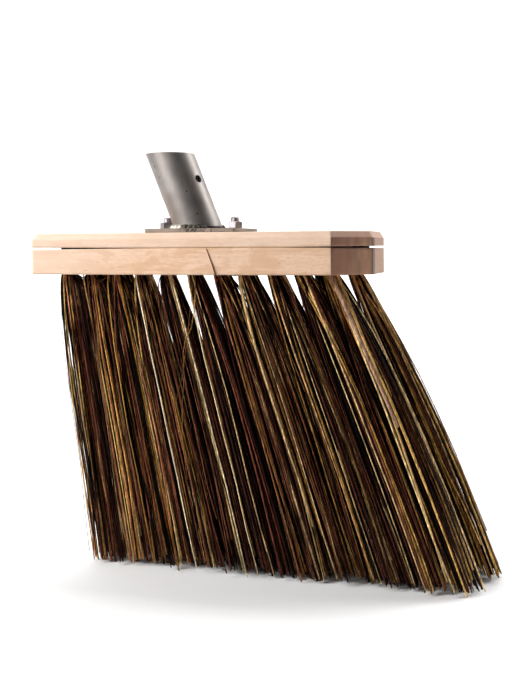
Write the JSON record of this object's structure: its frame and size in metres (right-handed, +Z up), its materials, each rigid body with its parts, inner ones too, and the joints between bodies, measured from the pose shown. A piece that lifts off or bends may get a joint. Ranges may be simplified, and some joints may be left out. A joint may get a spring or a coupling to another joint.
{
  "type": "broom head",
  "caption": "Street broom head: two bolted wooden boards with staggered rows of raked stiff fibre tufts, and a leaning steel tube socket that takes a handle.",
  "frame": {"origin": "on the floor at the level of the bristle tips, under the middle of the whole head", "axes": "+X along the block towards the end that the bristles rake to, +Y towards the back of the block, +Z up towards the handle socket"},
  "size_m": [0.3354, 0.072, 0.2987],
  "materials": {
    "beech": "matte",
    "fibre": "matte",
    "tube_steel": "satin",
    "plate_steel": "satin",
    "weld_steel": "rough",
    "zinc_steel": "satin",
    "wire_steel": "satin"
  },
  "bodies": {
    "root": {"cover_board": "beech", "tuft_board": "beech", "socket_plate": "plate_steel", "handle_socket": "tube_steel", "weld_front": "weld_steel", "weld_back": "weld_steel", "bolt_left": "zinc_steel", "bolt_right": "zinc_steel", "nut_left": "zinc_steel", "nut_right": "zinc_steel", "wire_front": "wire_steel", "wire_back": "wire_steel", "tuft_front_01": "fibre", "tuft_front_02": "fibre", "tuft_front_03": "fibre", "tuft_front_04": "fibre", "tuft_front_05": "fibre", "tuft_front_06": "fibre", "tuft_front_07": "fibre", "tuft_front_08": "fibre", "tuft_front_09": "fibre", "tuft_front_10": "fibre", "tuft_front_11": "fibre", "tuft_back_01": "fibre", "tuft_back_02": "fibre", "tuft_back_03": "fibre", "tuft_back_04": "fibre", "tuft_back_05": "fibre", "tuft_back_06": "fibre", "tuft_back_07": "fibre", "tuft_back_08": "fibre", "tuft_back_09": "fibre", "tuft_back_10": "fibre", "tuft_back_11": "fibre"}
  },
  "joints": []
}
